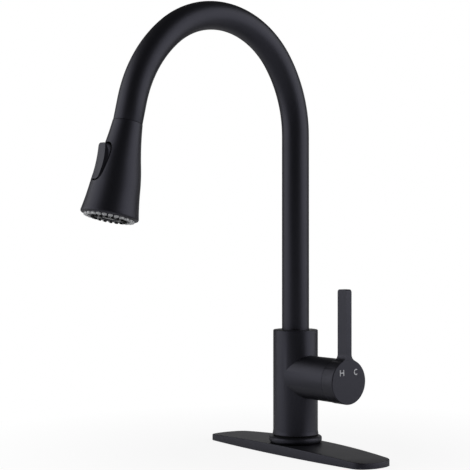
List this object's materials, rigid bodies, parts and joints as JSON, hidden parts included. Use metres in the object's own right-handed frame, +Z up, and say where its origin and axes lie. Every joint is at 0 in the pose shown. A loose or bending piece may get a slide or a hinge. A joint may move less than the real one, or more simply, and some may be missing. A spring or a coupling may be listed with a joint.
{
  "type": "pull-down kitchen faucet",
  "caption": "Single-handle kitchen faucet with a high-arc swivel spout, a pull-down spray head with a rocker button, a side lever and a long deck plate.",
  "frame": {"origin": "centre of the deck plate's underside, on the axis of the column and of the deck hole", "axes": "+Z up along the column, the spout reaches towards -Y, the handle's arm points along +X and the deck plate's length runs along X"},
  "size_m": [0.254, 0.2866, 0.5552],
  "materials": {
    "black_metal": "matte black powder coat",
    "black_plastic": "matte black, matched to the metal",
    "dark_plastic": "plain moulded plastic",
    "black_rubber": "plain",
    "brass": "machined",
    "steel": "zinc-plated",
    "braid": "grey nylon braid",
    "ceramic": "polished ceramic",
    "pale_plastic": "moulded acetal",
    "silicone": "pale silicone",
    "magnet": "sintered magnet, nickel-plated"
  },
  "bodies": {
    "root": {"deck_plate": "black_metal", "plate_base": "dark_plastic", "plate_gasket": "black_rubber", "base_ring": "black_metal", "base_seal": "black_rubber", "valve_body": "black_metal", "spout_collar": "black_metal", "mounting_shank": "brass", "rubber_washer": "black_rubber", "steel_washer": "steel", "mounting_nut": "brass", "nut_screws": "steel", "cartridge_housing": "pale_plastic", "cartridge_seals": "black_rubber", "fixed_disc": "ceramic", "cartridge_nut": "brass", "bonnet_dome": "black_metal"},
    "mixer": {"stem_carrier": "pale_plastic", "stem_pin": "steel"},
    "disc": {"moving_disc": "ceramic"},
    "handle": {"lever_handle": "black_metal", "cartridge_stem": "brass", "handle_set_screw": "steel", "screw_plug": "black_plastic"},
    "spout": {"spout_tube": "black_metal", "spout_bush": "brass", "glide_rings": "pale_plastic", "dock_collar": "dark_plastic", "dock_magnet": "magnet", "spray_hose": "braid", "hose_plug": "steel"},
    "hose_end": {"hose_ferrule": "steel"},
    "spray_head": {"head_shell": "black_plastic", "swivel_nut": "steel", "spray_core": "dark_plastic", "neck_washer": "black_rubber", "filter_screen": "steel", "check_valve": "pale_plastic", "button_frame": "dark_plastic", "rocker_pin": "steel", "face_gasket": "black_rubber", "nozzle_pad": "silicone", "inner_nozzle_pad": "black_rubber", "face_plate": "black_plastic", "face_screws": "steel", "aerator_housing": "black_plastic", "aerator_screen": "steel"},
    "rocker": {"rocker_button": "black_plastic"},
    "diverter": {"diverter_spool": "pale_plastic", "spool_rings": "black_rubber"}
  },
  "joints": [
    {"name": "spout_swivel", "type": "hinge", "parent": "root", "child": "spout", "pos_m": [0, 0, 0.11], "axis": [0, 0, 1], "continuous": true},
    {"name": "spray_pull", "type": "slide", "parent": "spout", "child": "hose_end", "axis": [0, -0.2224, -0.975], "range_m": [0, 0.22], "stiffness_N_per_m": 4, "springref_m": -1.2, "deforming": ["spray_hose"]},
    {"name": "spray_swivel", "type": "hinge", "parent": "hose_end", "child": "spray_head", "pos_m": [0, -0.20989, 0.33583], "axis": [0, -0.2224, -0.975], "continuous": true},
    {"name": "rocker_tilt", "type": "hinge", "parent": "spray_head", "child": "rocker", "pos_m": [0, -0.23333, 0.29604], "axis": [-1, 0, 0], "range_deg": [0, 8]},
    {"name": "diverter_slide", "type": "slide", "parent": "spray_head", "child": "diverter", "axis": [0, 0.975, -0.2224], "range_m": [0, 0.0016]},
    {"name": "handle_temperature", "type": "hinge", "parent": "root", "child": "mixer", "pos_m": [0.0472, 0, 0.08045], "axis": [1, 0, 0], "range_deg": [-45, 45]},
    {"name": "handle_flow", "type": "hinge", "parent": "mixer", "child": "handle", "pos_m": [0.0472, 0, 0.08045], "axis": [0, 1, 0], "range_deg": [0, 25]},
    {"name": "disc_slide", "type": "slide", "parent": "mixer", "child": "disc", "axis": [0, 0, 1], "range_m": [0, 0.0038]}
  ],
  "couplings": [
    {"joint": "diverter_slide", "follows": "rocker_tilt", "m_per_rad": 0.01},
    {"joint": "disc_slide", "follows": "handle_flow", "m_per_rad": 0.0084}
  ]
}
